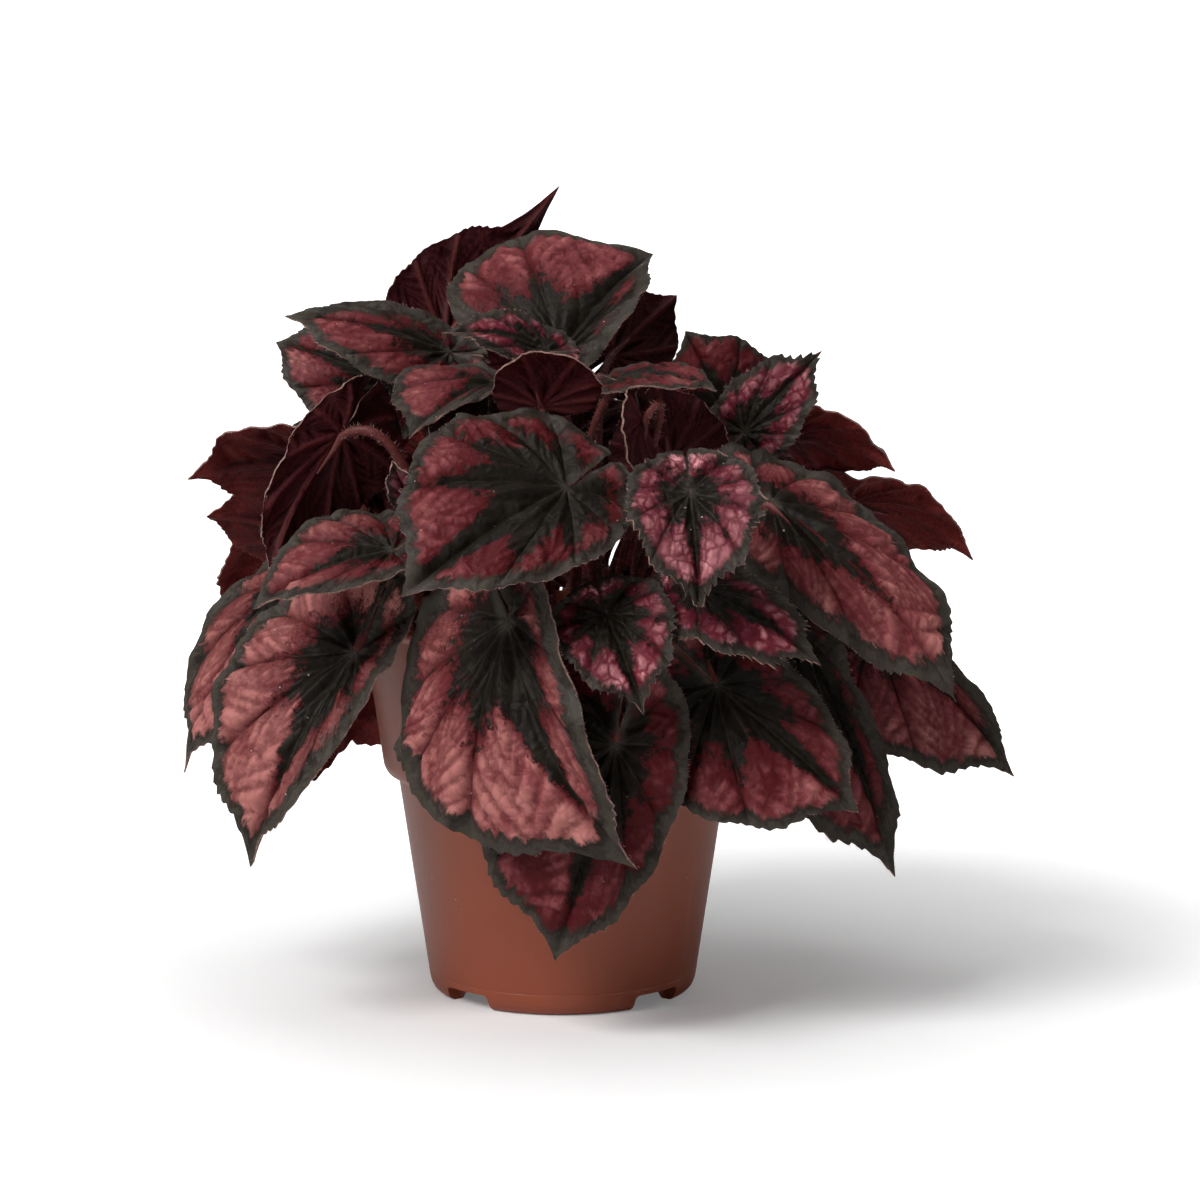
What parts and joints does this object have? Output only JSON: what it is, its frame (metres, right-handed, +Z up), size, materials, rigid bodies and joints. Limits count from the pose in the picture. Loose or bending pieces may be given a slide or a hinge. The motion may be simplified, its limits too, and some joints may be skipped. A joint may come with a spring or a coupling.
{
  "type": "potted begonia",
  "caption": "Low mound of toothed, pointed heart-shaped leaves, dark with pink-red zones, on hairy stalks in a tapering terracotta-coloured plastic nursery pot with a wide rim band.",
  "frame": {"origin": "middle of the footprint of the whole plant, at the surface that the pot stands on", "axes": "+Z up, +Y away from the viewer of the picture, +X to the viewer's right"},
  "size_m": [0.2434, 0.1924, 0.236],
  "materials": {
    "pot_plastic": "injection-moulded polypropylene, satin outside",
    "compost": "loose, moist, crumbly",
    "leaf": "soft sheen, puckered, with fine hairs"
  },
  "bodies": {
    "root": {"pot": "pot_plastic", "soil": "compost", "leaf_back_high": "leaf", "leaf_back_high_right": "leaf", "leaf_back_left": "leaf", "leaf_back_left_level": "leaf", "leaf_back_left_low": "leaf", "leaf_back_low": "leaf", "leaf_back_middle": "leaf", "leaf_back_right": "leaf", "leaf_back_right_low": "leaf", "leaf_back_right_upper": "leaf", "leaf_back_upper": "leaf", "leaf_back_young_heart": "leaf", "leaf_back_young_middle": "leaf", "leaf_back_young_right": "leaf", "leaf_centre": "leaf", "leaf_centre_dark": "leaf", "leaf_centre_left": "leaf", "leaf_centre_right": "leaf", "leaf_centre_under": "leaf", "leaf_far_left_low": "leaf", "leaf_far_right": "leaf", "leaf_far_right_low": "leaf", "leaf_front_left": "leaf", "leaf_front_low": "leaf", "leaf_front_right": "leaf", "leaf_inner_left": "leaf", "leaf_left_behind": "leaf", "leaf_left_dark": "leaf", "leaf_left_level": "leaf", "leaf_left_low": "leaf", "leaf_left_under": "leaf", "leaf_middle": "leaf", "leaf_right": "leaf", "leaf_right_low": "leaf", "leaf_right_upper": "leaf", "leaf_side_left": "leaf", "leaf_side_right": "leaf", "leaf_top": "leaf", "leaf_top_back": "leaf", "leaf_top_right_behind": "leaf", "leaf_unfurling": "leaf", "leaf_upper_left": "leaf", "leaf_upper_left_behind": "leaf", "leaf_upper_right": "leaf", "leaf_young_heart": "leaf", "leaf_young_middle": "leaf", "leaf_young_right": "leaf", "leaf_young_top": "leaf", "leaf_young_upright": "leaf"}
  },
  "joints": []
}
